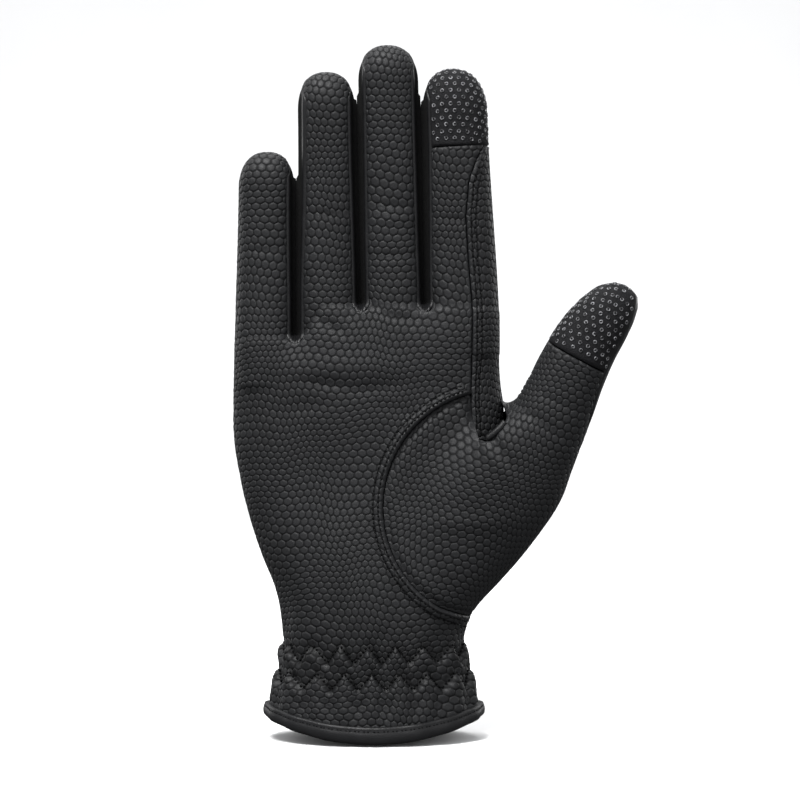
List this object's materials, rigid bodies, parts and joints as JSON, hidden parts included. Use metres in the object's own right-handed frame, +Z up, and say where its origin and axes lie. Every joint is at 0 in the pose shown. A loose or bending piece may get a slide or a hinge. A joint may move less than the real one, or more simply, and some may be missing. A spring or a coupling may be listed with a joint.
{
  "type": "horse riding glove",
  "caption": "Soft synthetic leather riding glove for one hand, held open as worn, with textile tips on thumb and index finger and a gathered cuff.",
  "frame": {"origin": "middle of the cuff's opening, level with the lowest point of the hem, where the hand goes in", "axes": "+Z up along the hand towards the fingertips, -Y out of the palm, +X towards the thumb's side"},
  "size_m": [0.137, 0.053, 0.2357],
  "materials": {
    "embossed_leather": "black, embossed with small rounded six-sided cells, semi-matt",
    "smooth_leather": "black, fine grain, satin",
    "tip_textile": "black close weave with small raised silvery grip rings",
    "stitching": "black twisted sewing thread",
    "grip_dots": "silvery grey printed grip rings, satin"
  },
  "bodies": {
    "root": {"palm_panel": "embossed_leather", "back_panel": "embossed_leather", "index_side_panel": "embossed_leather", "thumb_panel": "embossed_leather", "thumb_back": "smooth_leather", "fourchette_little_ring": "smooth_leather", "fourchette_ring_middle": "smooth_leather", "fourchette_middle_index": "smooth_leather", "cuff_binding": "smooth_leather", "index_tip_patch": "tip_textile", "thumb_tip_patch": "tip_textile"}
  },
  "joints": []
}
